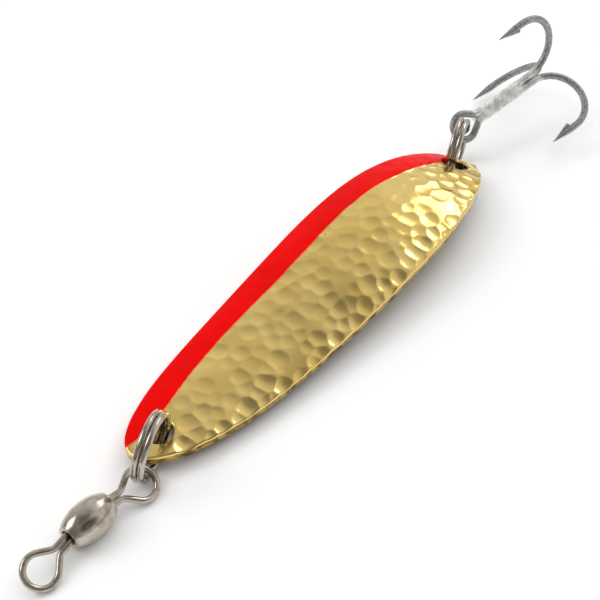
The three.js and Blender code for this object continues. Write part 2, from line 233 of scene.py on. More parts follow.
# Softboxes: name, direction, distance, width and height in metres, and radiance.
SOFTBOXES = (
    ("key_upper_left", (-0.45, 0.62, 0.72), 0.7, 0.40, 0.34, 3.0),
    ("tail_panel", (0.76, 0.13, 0.6), 0.6, 0.22, 0.2, 2.3),
    ("rim_panel", (0.72, -0.1, 0.69), 0.6, 0.13, 0.11, 3.2),
)
FLOOR_FILL = ("floor_fill", (0, 0, 1), 0.9, 1.3, 1.3, 1.05)
# The floor, in metres, lies just under the lowest wire.
FLOOR_HALF_SIZE = 3.0
FLOOR_DROP = 0.00002

# The design frame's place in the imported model, from the barrel's middle.
barrel_low, barrel_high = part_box("swivel_barrel")
DESIGN_ORIGIN = (barrel_low + barrel_high) / 2 - BARREL_CENTRE * MM


def place(points):
    """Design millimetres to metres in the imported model's frame."""
    return np.asarray(points, float) * MM + np.array(DESIGN_ORIGIN)


# -------------------------------------------------------------------- curves

def bezier(values, s):
    """The Bezier curve with these control values, at s from 0 to 1."""
    rows = [np.asarray(value, float) + 0 * np.asarray(s, float) for value in values]
    while len(rows) > 1:
        rows = [(1 - s) * a + s * b for a, b in zip(rows, rows[1:])]
    return rows[0]


def bezier_slope(values, s):
    """Slope of the same curve, per unit of s."""
    steps = [b - a for a, b in zip(values, values[1:])]
    return len(steps) * bezier(steps, s)


def smoothstep(value, low, high):
    """0 up to low, 1 from high, and smooth between."""
    t = np.clip((value - low) / (high - low), 0, 1)
    return t * t * (3 - 2 * t)


def line(a, b, count=12):
    """Points at even steps from a to b."""
    t = np.linspace(0, 1, count)[:, None]
    return np.asarray(a) * (1 - t) + np.asarray(b) * t


def corner_bend(a, corner, b, count=12):
    """A quadratic curve from a to b, pulled towards the corner."""
    t = np.linspace(0, 1, count)[:, None]
    return np.asarray(a) * (1 - t) ** 2 + 2 * np.asarray(corner) * t * (1 - t) + np.asarray(b) * t ** 2


def arc(centre, u, v, radius, start, end, count=64):
    """centre + radius * (u * cos + v * sin), from one angle to another."""
    angle = np.linspace(start, end, count)[:, None]
    across = np.asarray(u) * np.cos(angle) + np.asarray(v) * np.sin(angle)
    return np.asarray(centre) + radius * across


def joined(parts):
    """One path from several that meet end to end, without the doubled points."""
    points = np.vstack(parts)
    apart = np.linalg.norm(np.diff(points, axis=0), axis=1) > 1e-6
    return points[np.concatenate([[True], apart])]


def resampled(points, count):
    """The same path at even steps."""
    lengths = np.concatenate([[0], np.cumsum(np.linalg.norm(np.diff(points, axis=0), axis=1))])
    wanted = np.linspace(0, lengths[-1], count)
    return np.column_stack([np.interp(wanted, lengths, points[:, axis]) for axis in range(3)])


def turned(points, rotation, centre):
    """Points turned by a 3x3 rotation and moved to centre."""
    return np.asarray(points) @ np.array(rotation).T + np.array(centre)


def aim_z(axis):
    """The rotation that turns Z to an axis."""
    return Vector((0, 0, 1)).rotation_difference(axis).to_matrix()


def aim_x(yaw, pitch, roll):
    """Yaw about Z, pitch (nose up), then roll about the piece's own X, in degrees."""
    return (
        Matrix.Rotation(math.radians(yaw), 3, "Z")
        @ Matrix.Rotation(math.radians(-pitch), 3, "Y")
        @ Matrix.Rotation(math.radians(roll), 3, "X")
    )


# -------------------------------------------------------------------- meshes

# A direction that no wire starts along, to begin a tube's rings from.
OFF_AXIS = (0.31, 0.52, 0.79)

# Steps in degrees round the edge of a wire's end.
END_ROUNDING_STEPS = (22, 45, 68, 90)


def new_object(name, points, faces):
    """An object from points in design millimetres."""
    mesh = bpy.data.meshes.new(name)
    mesh.from_pydata(place(points).tolist(), [], faces)
    mesh.update()
    made = bpy.data.objects.new(name, mesh)
    bpy.context.scene.collection.objects.link(made)
    return made


def grid_faces(rows, columns):
    """Quads of a grid of rows whose columns close round."""
    r = np.arange(rows - 1)[:, None] * columns
    c = np.arange(columns)[None, :]
    n = (c + 1) % columns
    quads = np.stack([r + c, r + n, r + columns + n, r + columns + c], axis=-1)
    return quads.reshape(-1, 4).tolist()


def capped(rings):
    """Points and faces of a closed solid from a stack of closed rings."""
    rows, columns = rings.shape[:2]
    points = np.vstack([rings.reshape(-1, 3), rings[0].mean(0), rings[-1].mean(0)])
    faces = grid_faces(rows, columns)
    first, last = rows * columns, rows * columns + 1
    tail = (rows - 1) * columns
    for c in range(columns):
        n = (c + 1) % columns
        faces.append((first, n, c))
        faces.append((last, tail + c, tail + n))
    return points, faces


def rounded_ends(path, radii, rounding):
    """Adds short rounded ends to a path and its radii."""
    path, radii = np.asarray(path, float), np.asarray(radii, float)
    turn = np.radians(END_ROUNDING_STEPS)
    for end, inner in ((0, 1), (-1, -2)):
        away = path[end] - path[inner]
        away /= np.linalg.norm(away)
        edge = min(rounding, radii[end] * 0.9)
        caps = path[end] + np.outer(edge * np.sin(turn), away)
        cap_radii = radii[end] - edge * (1 - np.cos(turn))
        if end == 0:
            path, radii = np.vstack([caps[::-1], path]), np.concatenate([cap_radii[::-1], radii])
        else:
            path, radii = np.vstack([path, caps]), np.concatenate([radii, cap_radii])
    return path, radii


def tube_rings(path, radii, sides):
    """Round rings along a path, each turned as little as possible from the last."""
    tangents = np.gradient(path, axis=0)
    tangents /= np.linalg.norm(tangents, axis=1)[:, None]
    across = np.array(OFF_AXIS)
    angles = np.linspace(0, 2 * np.pi, sides, endpoint=False)
    rings = []
    for point, tangent, radius in zip(path, tangents, radii):
        across = across - tangent * (across @ tangent)
        across /= np.linalg.norm(across)
        other = np.cross(tangent, across)
        ring = np.outer(np.cos(angles), across) + np.outer(np.sin(angles), other)
        rings.append(point + radius * ring)
    return np.array(rings)


def tube(name, path, radii, sides, rounding):
    """A closed round wire along a path of design millimetres."""
    radii = np.broadcast_to(radii, len(path))
    path, radii = rounded_ends(path, radii, rounding)
    return new_object(name, *capped(tube_rings(path, radii, sides)))


def lathed_x(profile, sides):
    """A closed solid of revolution about X from a closed (x, radius) profile."""
    angles = np.linspace(0, 2 * np.pi, sides, endpoint=False)
    x, radius = np.array(profile).T
    rings = np.stack([
        np.column_stack([x, radius * math.cos(a), radius * math.sin(a)]) for a in angles
    ])
    faces = grid_faces(sides + 1, len(x))
    count = sides * len(x)
    faces = [[index % count for index in face] for face in faces]
    return rings.reshape(-1, 3), faces


def apply_modifiers(piece):
    """Replaces the mesh by what its modifiers make of it."""
    graph = bpy.context.evaluated_depsgraph_get()
    mesh = bpy.data.meshes.new_from_object(piece.evaluated_get(graph))
    piece.modifiers.clear()
    piece.data = mesh


def boolean(piece, other, operation):
    """Cuts or joins another object into the piece, and removes the other."""
    modifier = piece.modifiers.new("join", "BOOLEAN")
    modifier.operation = operation
    modifier.solver = "MANIFOLD"
    modifier.object = other
    apply_modifiers(piece)
    bpy.data.objects.remove(other)


def outward(piece):
    """Makes all faces point out."""
    mesh = bmesh.new()
    mesh.from_mesh(piece.data)
    bmesh.ops.recalc_face_normals(mesh, faces=mesh.faces)
    mesh.to_mesh(piece.data)
    mesh.free()


def design_points(piece):
    """A piece's points in design millimetres."""
    points = np.zeros(len(piece.data.vertices) * 3)
    piece.data.vertices.foreach_get("co", points)
    return (points.reshape(-1, 3) - np.array(DESIGN_ORIGIN)) / MM


def write_attribute(piece, name, values):
    """Writes one number per point, for a material to read."""
    layer = piece.data.attributes.new(name, "FLOAT", "POINT")
    layer.data.foreach_set("value", np.asarray(values).astype(np.float32))


def finished(piece, material, body, node, sharp_angle=40):
    """Shades a piece, gives it its material and hangs it on its body."""
    piece.data.shade_smooth()
    piece.data.set_sharp_from_angle(angle=math.radians(sharp_angle))
    piece.data.materials.clear()
    piece.data.materials.append(material)
    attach(piece, body)
    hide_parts(node)
    return piece


# ----------------------------------------------------------------- materials

class Shader:
    """A material of one Principled shader, and short ways to add nodes to it."""

    def __init__(self, name, roughness=0.4, metallic=0.0):
        self.material = bpy.data.materials.new(name)
        self.material.use_nodes = True
        self.tree = self.material.node_tree
        self.principled = self.tree.nodes["Principled BSDF"]
        self.principled.inputs["Roughness"].default_value = roughness
        self.principled.inputs["Metallic"].default_value = metallic
        place_node = self.tree.nodes.new("ShaderNodeTexCoord")
        scale = self.tree.nodes.new("ShaderNodeVectorMath")
        scale.operation = "SCALE"
        scale.inputs["Scale"].default_value = 1 / MM
        self.link(place_node.outputs["Object"], scale.inputs[0])
        self.millimetres = scale.outputs[0]

    def link(self, output, target):
        self.tree.links.new(output, target)

    def set(self, socket, output):
        self.link(output, self.principled.inputs[socket])

    def stretched(self, factors):
        node = self.tree.nodes.new("ShaderNodeVectorMath")
        node.operation = "MULTIPLY"
        node.inputs[1].default_value = factors
        self.link(self.millimetres, node.inputs[0])
        return node.outputs[0]

    def noise(self, scale, detail=3, roughness=0.55, coordinates=None):
        node = self.tree.nodes.new("ShaderNodeTexNoise")
        node.inputs["Scale"].default_value = scale
        node.inputs["Detail"].default_value = detail
        node.inputs["Roughness"].default_value = roughness
        self.link(coordinates or self.millimetres, node.inputs["Vector"])
        return node.outputs["Fac"]

    def spots(self, scale):
        """Distance to the nearest of some scattered points."""
        node = self.tree.nodes.new("ShaderNodeTexVoronoi")
        node.inputs["Scale"].default_value = scale
        self.link(self.millimetres, node.inputs["Vector"])
        return node.outputs["Distance"]

    def attribute(self, name):
        node = self.tree.nodes.new("ShaderNodeAttribute")
        node.attribute_name = name
        return node.outputs["Fac"]

    def range(self, value, from_low, from_high, to_low=0.0, to_high=1.0):
        node = self.tree.nodes.new("ShaderNodeMapRange")
        node.interpolation_type = "SMOOTHSTEP"
        node.inputs["From Min"].default_value = from_low
        node.inputs["From Max"].default_value = from_high
        node.inputs["To Min"].default_value = to_low
        node.inputs["To Max"].default_value = to_high
        self.link(value, node.inputs["Value"])
        return node.outputs["Result"]

    def math(self, operation, a, b):
        node = self.tree.nodes.new("ShaderNodeMath")
        node.operation = operation
        for value, socket in ((a, node.inputs[0]), (b, node.inputs[1])):
            if isinstance(value, (int, float)):
                socket.default_value = value
            else:
                self.link(value, socket)
        return node.outputs[0]

    def mix(self, factor, a, b):
        """A mix of two colours, each a colour or an output."""
        node = self.tree.nodes.new("ShaderNodeMix")
        node.data_type = "RGBA"
        self.link(factor, node.inputs[0])
        for value, socket in ((a, node.inputs[6]), (b, node.inputs[7])):
            if isinstance(value, tuple):
                socket.default_value = (*value, 1)
            else:
                self.link(value, socket)
        return node.outputs[2]

    def mix_values(self, factor, output, number):
        """A mix of one output and one number."""
        node = self.tree.nodes.new("ShaderNodeMix")
        self.link(factor, node.inputs[0])
        self.link(output, node.inputs[2])
        node.inputs[3].default_value = number
        return node.outputs[0]

    def bump(self, height, distance_mm, strength=1.0):
        node = self.tree.nodes.new("ShaderNodeBump")
        node.inputs["Strength"].default_value = strength
        node.inputs["Distance"].default_value = distance_mm * MM
        self.link(height, node.inputs["Height"])
        self.set("Normal", node.outputs["Normal"])


def brass_and_paint():
    """Bright brass with pits and fine scratches, red enamel where it is painted, and painted shade on
    the walls, the back and inside the holes.
    """
    s = Shader("hammered_brass_and_red_paint", metallic=1.0)
    tone = s.mix(s.range(s.noise(0.22, 4), 0.35, 0.65), *BRASS)
    pit = s.range(s.math("ADD", s.spots(0.55), s.math("MULTIPLY", s.noise(0.4), 0.3)), 0.13, 0.19)
    bright = s.mix(pit, BRASS_PIT, tone)
    # Painted shade: points more than about 0.3 mm below the top face (the walls and the back) turn
    # dark brown.
    wall_shade = s.mix(s.range(s.noise(0.9, 4), 0.36, 0.62), *WALL_SHADE_BRASS)
    brass_with_wall_shade = s.mix(s.range(s.attribute("below_top"), 0.3, 0.42), bright, wall_shade)
    # Painted shade: the walls inside the holes turn near black.
    brass = s.mix(s.range(s.attribute("hole_wall_shade"), 0.2, 0.7), brass_with_wall_shade, HOLE_SHADE)
    wave = s.math("MULTIPLY", s.math("SUBTRACT", s.noise(1.6, 2), 0.5), 0.16)
    edge = s.math("ADD", s.attribute("paint_depth"), wave)
    painted = s.range(edge, -0.02, 0.03)
    thin = s.range(edge, 0.02, 0.16)
    red = s.mix(s.range(s.noise(0.15, 2), 0.3, 0.7), *RED_PAINT)
    paint = s.mix(thin, THIN_PAINT, red)
    s.set("Base Color", s.mix(painted, brass, paint))
    s.set("Metallic", s.range(painted, 0, 1, 1, 0))
    scratches = s.noise(1.0, 5, 0.7, s.stretched((0.6, 9, 9)))
    shine = s.range(scratches, 0.3, 0.75, 0.11, 0.21)
    s.set("Roughness", s.mix_values(painted, shine, 0.33))
    s.principled.inputs["Specular IOR Level"].default_value = 0.05
    s.bump(s.math("ADD", scratches, s.noise(3.2, 3)), 0.006, 0.6)
    return s.material


def nickel():
    """Polished nickel plate with faint brown stains."""
    s = Shader("polished_nickel", metallic=1.0)
    stain = s.range(s.noise(0.9, 4), 0.42, 0.7)
    s.set("Base Color", s.mix(stain, *NICKEL))
    s.set("Roughness", s.range(s.noise(2.6, 4), 0.3, 0.7, 0.14, 0.27))
    s.bump(s.noise(5, 4), 0.008, 0.6)
    return s.material


def tinned_steel():
    """Grainy grey tinned steel, paler where the solder has run over it."""
    s = Shader("dull_tinned_steel", metallic=0.9)
    grain = s.noise(3.2, 6, 0.7)
    steel = s.mix(s.range(grain, 0.35, 0.68), *TINNED_STEEL)
    tinning = s.mix(s.range(s.noise(1.1, 5, 0.65), 0.38, 0.64), *TINNING)
    spread = s.math("ADD", s.attribute("tinning"), s.math("MULTIPLY", s.noise(1.5, 4), 0.5))
    s.set("Base Color", s.mix(s.range(spread, 0.55, 0.85), steel, tinning))
    s.set("Roughness", s.range(s.noise(4.5, 4), 0.3, 0.7, 0.36, 0.55))
    s.bump(s.noise(7, 5, 0.7), 0.03, 0.7)
    return s.material


def solder():
    """Rough pale solder with grey patches."""
    s = Shader("rough_tinned_braze", metallic=0.6)
    patch = s.range(s.noise(1.1, 5, 0.65), 0.36, 0.62)
    s.set("Base Color", s.mix(patch, *SOLDER))
    s.set("Roughness", s.range(s.noise(4, 4), 0.3, 0.7, 0.38, 0.58))
    s.bump(s.noise(5, 5, 0.7), 0.05, 0.7)
    return s.material


def white_floor():
    s = Shader("white_sweep", roughness=0.85)
    s.set("Base Color", s.mix(s.noise(0.02, 2), *WHITE_FLOOR))
    s.principled.inputs["Specular IOR Level"].default_value = 0.1
    return s.material


# --------------------------------------------------------------------- blade

def half_width(s):
    """Half width of the blade at s, from 0 at the front tip to 1 at the tail."""
    return bezier(BLADE_FULLNESS, s) * np.sqrt(s * (1 - s))


def blade_points(s, y, depth):
    """Points at lateral distance y and depth below the top face, at station s."""
    slope = bezier_slope(BLADE_CREST, s) / BLADE_LENGTH
    normal = np.hypot(slope, 1)
    crown = y * y / (2 * BLADE_CROWN_RADIUS)
    x = (s - 0.5) * BLADE_LENGTH + slope * depth / normal
    z = bezier(BLADE_CREST, s) - crown - depth / normal
    return np.stack(np.broadcast_arrays(x, y, z), axis=-1)


def peen_marks():
    """Centre, radius and ball radius of each hammer mark, over the blade and round it."""
    random = np.random.default_rng(RANDOM_SEED)
    row_step = PEEN_SPACING * math.sqrt(3) / 2
    marks = []
    for row in range(-PEEN_ROWS, PEEN_ROWS + 1):
        for column in range(-PEEN_COLUMNS, PEEN_COLUMNS + 1):
            x = (column + 0.5 * (row % 2)) * PEEN_SPACING
            y = row * row_step
            dx, dy = random.uniform(-PEEN_JITTER, PEEN_JITTER, 2)
            radius = random.uniform(*PEEN_RADII)
            station = np.clip(x / BLADE_LENGTH + 0.5, 0.01, 0.99)
            near_edge = smoothstep(-y / half_width(station), *PEEN_HARD_OVER_WIDTH)
            hard = max(near_edge, smoothstep(x, *PEEN_HARD_OVER_X))
            ball = PEEN_SOFT_BALL + (PEEN_HARD_BALL - PEEN_SOFT_BALL) * hard
            if random.random() > PEEN_SKIPPED * (1 - hard):
                ball *= random.uniform(*PEEN_BALL_VARIATION)
                marks.append((x + dx, y + dy, radius, ball))
    return marks


MARKS = peen_marks()


def hammering(x, y):
    """Depth of the hammered surface at plan position x, y: a soft union of the marks."""
    total = np.ones(np.shape(x))
    for mark_x, mark_y, radius, ball in MARKS:
        near = (x - mark_x) ** 2 + (y - mark_y) ** 2
        total += np.exp((radius ** 2 - near) / (2 * ball) / PEEN_RIDGE_SOFTNESS)
    depth = PEEN_RIDGE_SOFTNESS * np.log(total)
    for height, along_x, along_y, phase in SWELLS:
        depth += height * np.sin(along_x * x + along_y * y + phase)
    return depth


def paint_depth(x, y):
    """Distance inside the painted stripe, and negative outside it."""
    s = np.clip(x / BLADE_LENGTH + 0.5, 0, 1)
    inside = (y - bezier(PAINT_EDGE, s)) * PAINT_EDGE_COSINE
    return np.minimum(inside, np.minimum(x - PAINT_START, PAINT_END - x))


def rim_distance(s, y, width_at):
    """Distance in plan from each grid point to the blade's outline on its side."""
    stations = s[:, 0]
    x = (stations - 0.5) * BLADE_LENGTH
    width = width_at(stations)
    count = len(stations)
    nearest = np.full(y.shape, np.inf)
    for shift in range(-RIM_SEARCH, RIM_SEARCH):
        first = np.clip(np.arange(count) + shift, 0, count - 2)
        ax, ay = x[first][:, None], width[first][:, None]
        bx, by = x[first + 1][:, None] - ax, width[first + 1][:, None] - ay
        px, py = x[:, None] - ax, np.abs(y) - ay
        t = np.clip((px * bx + py * by) / (bx * bx + by * by), 0, 1)
        nearest = np.minimum(nearest, np.hypot(px - t * bx, py - t * by))
    return nearest


def fillet(distance, rounding):
    """Depth of a quarter-round edge at a distance in from it."""
    inside = np.clip(rounding - distance, 0, rounding)
    return rounding - np.sqrt(rounding ** 2 - inside ** 2)


def hole_distance(x, y):
    """Distance in plan outside the nearer hole's edge."""
    centres = [(station - 0.5) * BLADE_LENGTH for station in HOLE_STATIONS]
    return np.min([np.hypot(x - centre, y) for centre in centres], axis=0) - HOLE_RADIUS


def blade_sheet(s, columns, top):
    """One face of the blade: stations by columns from the -Y rim to the +Y rim.

    The columns are closer together near the rims.
    """
    u = np.linspace(-1, 1, columns)
    across = 0.35 * u + 0.65 * np.sin(u * np.pi / 2)
    y = across[None, :] * half_width(s)
    x = (s - 0.5) * BLADE_LENGTH + 0 * y
    rim = rim_distance(s, y, half_width)
    hole = np.clip(hole_distance(x, y), 0, None)
    edge = np.maximum(fillet(rim, RIM_ROUNDING), fillet(hole, HOLE_ROUNDING))
    marks = hammering(x, y)
    spread = np.sign(y) * PEEN_SPREAD * marks * smoothstep(np.abs(across), 0.9, 1)[None, :]
    if top:
        paint = paint_depth(x, y)
        covered = smoothstep(paint, -0.2, 0.4)
        relief = marks * (1 - (1 - PEEN_UNDER_PAINT) * covered)
        depth = relief + edge - PAINT_THICKNESS * smoothstep(paint, -0.08, 0.08)
    else:
        depth = BLADE_THICKNESS + PEEN_ON_BACK * marks - edge
    return blade_points(s, y + spread, depth)


def make_blade(material):
    """The hammered plate: top and back joined by walls, with both holes punched."""
    turn = np.linspace(0, np.pi, BLADE_STATIONS + 1)[1:-1]
    s = ((1 - np.cos(turn)) / 2)[:, None]
    top = blade_sheet(s, BLADE_TOP_COLUMNS, True)
    back = blade_sheet(s, BLADE_BACK_COLUMNS, False)[:, ::-1]
    t = np.linspace(0, 1, BLADE_WALL_ROWS + 2)[1:-1][None, :, None]
    left_wall = top[:, -1][:, None] * (1 - t) + back[:, 0][:, None] * t
    right_wall = back[:, -1][:, None] * (1 - t) + top[:, 0][:, None] * t
    rings = np.concatenate([top, left_wall, back, right_wall], axis=1)
    blade = new_object("spoon_blade_hammered", *capped(rings))
    outward(blade)
    for station in HOLE_STATIONS:
        slope = float(bezier_slope(BLADE_CREST, station)) / BLADE_LENGTH
        lean = np.array((-slope, 0, 1)) / math.hypot(slope, 1)
        middle = blade_points(station, 0.0, BLADE_THICKNESS / 2)
        through = line(middle - 2 * lean, middle + 2 * lean, 3)
        punch = tube("punch", through, HOLE_RADIUS, PUNCH_SIDES, 0.01)
        outward(punch)
        boolean(blade, punch, "DIFFERENCE")
    mark_blade(blade)
    return finished(blade, material, "blade", "spoon_blade")


def mark_blade(blade):
    """Writes where the blade is painted, how far down its wall each point is, and
    where the hole walls are darkened as painted shade.
    """
    x, y, z = design_points(blade).T
    station = np.clip(x / BLADE_LENGTH + 0.5, 0.0005, 0.9995)
    below = blade_points(station, y, 0.0)[:, 2] - z
    down_wall = (PAINT_DOWN_WALL * BLADE_THICKNESS - below) * 2
    write_attribute(blade, "paint_depth", np.minimum(paint_depth(x, y), down_wall))
    write_attribute(blade, "below_top", below)
    # Painted shade inside each hole: close to the hole's edge and below the top face.
    near_hole = 1 - smoothstep(hole_distance(x, y), 0.3, 0.5)
    write_attribute(blade, "hole_wall_shade", near_hole * smoothstep(below, 0.12, 0.3))


# --------------------------------------------------------------- split rings

def ring_path():
    """Centre line of a split ring about z, with its crank on the +x side."""
    gap = RING_END_GAP * RING_CRANK_HALF_ANGLE
    angle = np.linspace(gap, 4 * np.pi - gap, RING_STEPS)
    half_way = 2 * np.pi
    change = smoothstep(angle, half_way - RING_CRANK_HALF_ANGLE, half_way + RING_CRANK_HALF_ANGLE)
    return np.column_stack([
        RING_RADIUS * np.cos(angle),
        RING_RADIUS * np.sin(angle),
        (change - 0.5) * RING_TURN_SPACING,
    ])


def make_split_ring(name, node, body, centre, axis, spin, material):
    rotation = aim_z(axis) @ Matrix.Rotation(math.radians(spin), 3, "Z")
    path = turned(ring_path(), rotation, centre)
    ring = tube(name, path, RING_WIRE_RADIUS, WIRE_SIDES, 0.09)
    outward(ring)
    return finished(ring, material, body, node)


# ---------------------------------------------------------------- wire loops

def eye_path(start, fork, loop_centre, loop_radius, offset, drop=0.0, out=1):
    """From one strand, round the loop, and back along the other strand."""
    reach = abs(loop_centre - fork)
    span = math.hypot(reach, offset)
    opening = math.pi - math.acos(loop_radius / span) - math.atan2(offset, reach)
    height = -drop
    strand = np.array((start, offset, height))
    before = np.array((fork - out * FORK_EASE, offset, height))
    corner = np.array((fork, offset, height))
    touch = np.array((
        loop_centre + out * loop_radius * math.cos(opening),
        loop_radius * math.sin(opening),
        height,
    ))
    after = corner + (touch - corner) * FORK_EASE / np.linalg.norm(touch - corner)
    flip = np.array((1, -1, 1))
    first = [line(strand, before), corner_bend(before, corner, after), line(after, touch)]
    loop = arc((loop_centre, 0, height), (out, 0, 0), (0, 1, 0), loop_radius, opening, -opening, 90)
    second = [(part * flip)[::-1] for part in reversed(first)]
    return joined([*first, loop, *second])


# -------------------------------------------------------------------- swivel

def make_swivel_eye(name, node, body, side, yaw, roll, material):
    """A looped wire with its upset head inside the barrel, on one side of it."""
    neck = BARREL_HALF_LENGTH - BARREL_NECK_LENGTH / 2
    head_centre = -BARREL_NECK_LENGTH / 2 - SWIVEL_HEAD_GAP - SWIVEL_HEAD_HALF_LENGTH
    centre = BARREL_CENTRE + Vector((side * neck, 0, 0))
    rotation = aim_x(yaw, SWIVEL_EYE_PITCH, roll)
    path = eye_path(head_centre, SWIVEL_FORK_REACH, SWIVEL_EYE_REACH,
                    SWIVEL_EYE_RADIUS, SWIVEL_STRAND_OFFSET)
    path = resampled(path, SWIVEL_EYE_STEPS)
    eye = tube(name, turned(path, rotation, centre), SWIVEL_WIRE_RADIUS, WIRE_SIDES, 0.05)
    outward(eye)
    turn = np.linspace(0.04, np.pi - 0.04, SWIVEL_HEAD_STEPS)
    axis = np.column_stack([
        head_centre - SWIVEL_HEAD_HALF_LENGTH * np.cos(turn), 0 * turn, 0 * turn,
    ])
    head_radii = SWIVEL_HEAD_RADIUS * np.sin(turn)
    rings = tube_rings(turned(axis, rotation, centre), head_radii, SWIVEL_HEAD_SIDES)
    head = new_object("head", *capped(rings))
    outward(head)
    boolean(eye, head, "UNION")
    return finished(eye, material, body, node)


def barrel_radius(x):
    """The barrel's outer radius at x from its middle, as an ellipse."""
    end_fraction = BARREL_END_RADIUS / BARREL_RADIUS
    half_axis = BARREL_HALF_LENGTH / math.sqrt(1 - end_fraction ** 2)
    return BARREL_RADIUS * np.sqrt(1 - (x / half_axis) ** 2)


def make_barrel(material):
    """The hollow barrel, with a rounded lip at each neck."""
    lip = BARREL_LIP_ROUNDING
    inner_end = BARREL_HALF_LENGTH - BARREL_NECK_LENGTH
    outer_x = np.linspace(-BARREL_HALF_LENGTH + lip, BARREL_HALF_LENGTH - lip, 60)
    inner_x = np.linspace(inner_end, -inner_end, 24)
    turn = np.radians(np.linspace(0, 90, 7))
    end_radius = float(barrel_radius(BARREL_HALF_LENGTH - lip))
    high = np.column_stack([
        BARREL_HALF_LENGTH - lip + lip * np.sin(turn), end_radius - lip * (1 - np.cos(turn)),
    ])
    bore = np.column_stack([
        BARREL_HALF_LENGTH - BARREL_BORE_ROUNDING * (1 - np.cos(turn)),
        BARREL_NECK_RADIUS + BARREL_BORE_ROUNDING * (1 - np.sin(turn)),
    ])
    right_end = np.vstack([high, bore, [(inner_end, BARREL_NECK_RADIUS)]])
    left_end = right_end[::-1] * (-1, 1)
    profile = np.vstack([
        np.column_stack([outer_x, barrel_radius(outer_x)])[1:-1],
        right_end,
        np.column_stack([inner_x, barrel_radius(inner_x) - BARREL_WALL]),
        left_end,
    ])
    points, faces = lathed_x(profile, BARREL_SIDES)
    barrel = new_object("swivel_barrel_shell", points + np.array(BARREL_CENTRE), faces)
    outward(barrel)
    return finished(barrel, material, "barrel", "swivel_barrel", 50)


# --------------------------------------------------------------- treble hook

BEND_TURNS = (math.radians(120), math.radians(-120))
HOOK_HIGH = HOOK_STRAND_OFFSET + 2 * HOOK_BEND_RADIUS
HOOK_TIP_X = HOOK_SHANK_LENGTH - HOOK_POINT_REACH


def hook_point(x, radius, turn):
    """Point at distance x along the shank and radius out along a bend's direction."""
    return np.array((x, -radius * math.sin(turn), radius * math.cos(turn)))


def bend_path(start, turn):
    """One bend, from its strand at x = start to its point."""
    outward_way = hook_point(0, 1, turn)
    low = HOOK_STRAND_OFFSET
    bend_start = hook_point(HOOK_SHANK_LENGTH, low, turn)
    bend_centre = hook_point(HOOK_SHANK_LENGTH, low + HOOK_BEND_RADIUS, turn)
    bend_end = hook_point(HOOK_SHANK_LENGTH, HOOK_HIGH, turn)
    return joined([
        line(hook_point(start, low, turn), bend_start, 50),
        arc(bend_centre, (1, 0, 0), outward_way, HOOK_BEND_RADIUS, -math.pi / 2, math.pi / 2, 90),
        line(bend_end, hook_point(HOOK_TIP_X, HOOK_HIGH, turn), 40),
    ])


def point_radii(path):
    """Wire radius along a hook's path, ground down to each point it ends in."""
    ground = np.linalg.norm(path - path[-1], axis=1)
    share = np.clip(ground / HOOK_POINT_TAPER, 0, 1)
    return HOOK_TIP_RADIUS + (HOOK_WIRE_RADIUS - HOOK_TIP_RADIUS) * share ** 0.85


def hook_placed(points):
    """The hook's own points where the hook lies."""
    return turned(points, aim_x(HOOK_YAW, HOOK_PITCH, HOOK_ROLL), HOOK_EYE_CENTRE)


def add_barb(hook, turn):
    """An arrowhead that widens inwards from the tip and ends in a cut step."""
    root = hook_point(HOOK_TIP_X + BARB_ROOT_REACH, HOOK_HIGH, turn)
    end = hook_point(HOOK_TIP_X + BARB_REACH, HOOK_HIGH - BARB_STANDOFF, turn)
    t = np.linspace(0, 1, 20)
    curve = root + np.outer(t, end - root)
    curve -= np.outer(BARB_SAG * np.sin(np.pi * t), hook_point(0, 1, turn))
    radii = HOOK_TIP_RADIUS + (BARB_END_RADIUS - HOOK_TIP_RADIUS) * t
    barb = tube("barb", hook_placed(curve), radii, 20, 0.03)
    outward(barb)
    boolean(hook, barb, "UNION")


def mark_tinning(hook):
    """Writes how thickly the solder has spread over each point of a hook wire."""
    rotation = np.array(aim_x(HOOK_YAW, HOOK_PITCH, HOOK_ROLL))
    local = (design_points(hook) - np.array(HOOK_EYE_CENTRE)) @ rotation
    along, high = local[:, 0], np.hypot(local[:, 1], local[:, 2])
    spread = smoothstep(along, *TINNING_STARTS) * (1 - smoothstep(along, *TINNING_ENDS))
    write_attribute(hook, "tinning", spread * (1 - smoothstep(high, *TINNING_RISES)))


def make_double_hook(material):
    """One wire: a barbed bend, the hook's eye, and the other barbed bend."""
    first, second = BEND_TURNS
    eye = eye_path(HOOK_SHANK_START, HOOK_FORK_REACH, 0, HOOK_EYE_RADIUS,
                   HOOK_STRAND_OFFSET * math.sin(first), HOOK_STRAND_OFFSET / 2, -1)
    bends = [bend_path(HOOK_SHANK_START, turn) for turn in (second, first)]
    path = joined([bends[0][::-1], eye, bends[1]])
    path = resampled(path, DOUBLE_HOOK_STEPS)
    radii = np.minimum(point_radii(path), point_radii(path[::-1])[::-1])
    hook = tube("hook_double_wire_ground", hook_placed(path), radii, WIRE_SIDES, 0.01)
    outward(hook)
    for turn in BEND_TURNS:
        add_barb(hook, turn)
    mark_tinning(hook)
    return finished(hook, material, "hook", "hook_double_wire")


def make_single_hook(material):
    """The third barbed bend, whose shank lies in the groove of the other two."""
    path = resampled(bend_path(HOOK_SINGLE_START, 0), SINGLE_HOOK_STEPS)
    hook = tube("hook_single_wire_ground", hook_placed(path), point_radii(path), WIRE_SIDES, 0.1)
    outward(hook)
    add_barb(hook, 0)
    mark_tinning(hook)
    return finished(hook, material, "hook", "hook_single_wire")


